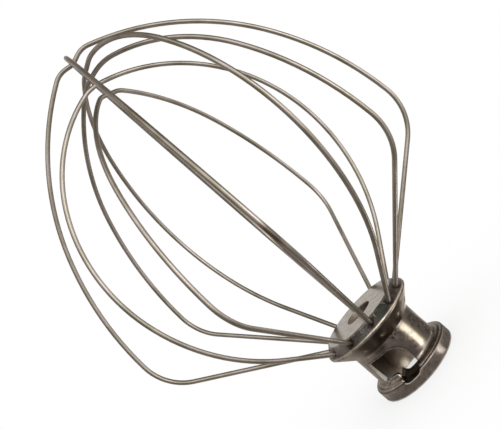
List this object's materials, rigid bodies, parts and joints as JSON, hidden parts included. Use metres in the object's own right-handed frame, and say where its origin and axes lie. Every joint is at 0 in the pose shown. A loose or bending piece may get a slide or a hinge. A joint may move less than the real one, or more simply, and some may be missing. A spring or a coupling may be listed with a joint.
{
  "type": "stand mixer wire whisk",
  "caption": "Balloon whisk for a stand mixer: nested bent-wire loops seated in a flared metal hub, with a bayonet socket that locks on the mixer's shaft by its cross pin.",
  "frame": {"origin": "centre of the socket's mouth, on the collar's flat end that the whisk stands on", "axes": "+Z along the socket's axis from the mouth towards the tips of the wires; the bayonet slot faces about -Y"},
  "size_m": [0.1246, 0.1248, 0.155],
  "materials": {
    "hub_metal": "cast, turned and burnished, with tarnish and small pits",
    "wire_steel": "drawn stainless wire, worn satin"
  },
  "bodies": {
    "root": {"hub": "hub_metal", "wire_loop_1": "wire_steel", "wire_loop_2": "wire_steel", "wire_loop_3": "wire_steel", "wire_loop_4": "wire_steel", "wire_loop_5": "wire_steel", "wire_loop_6": "wire_steel"}
  },
  "joints": []
}
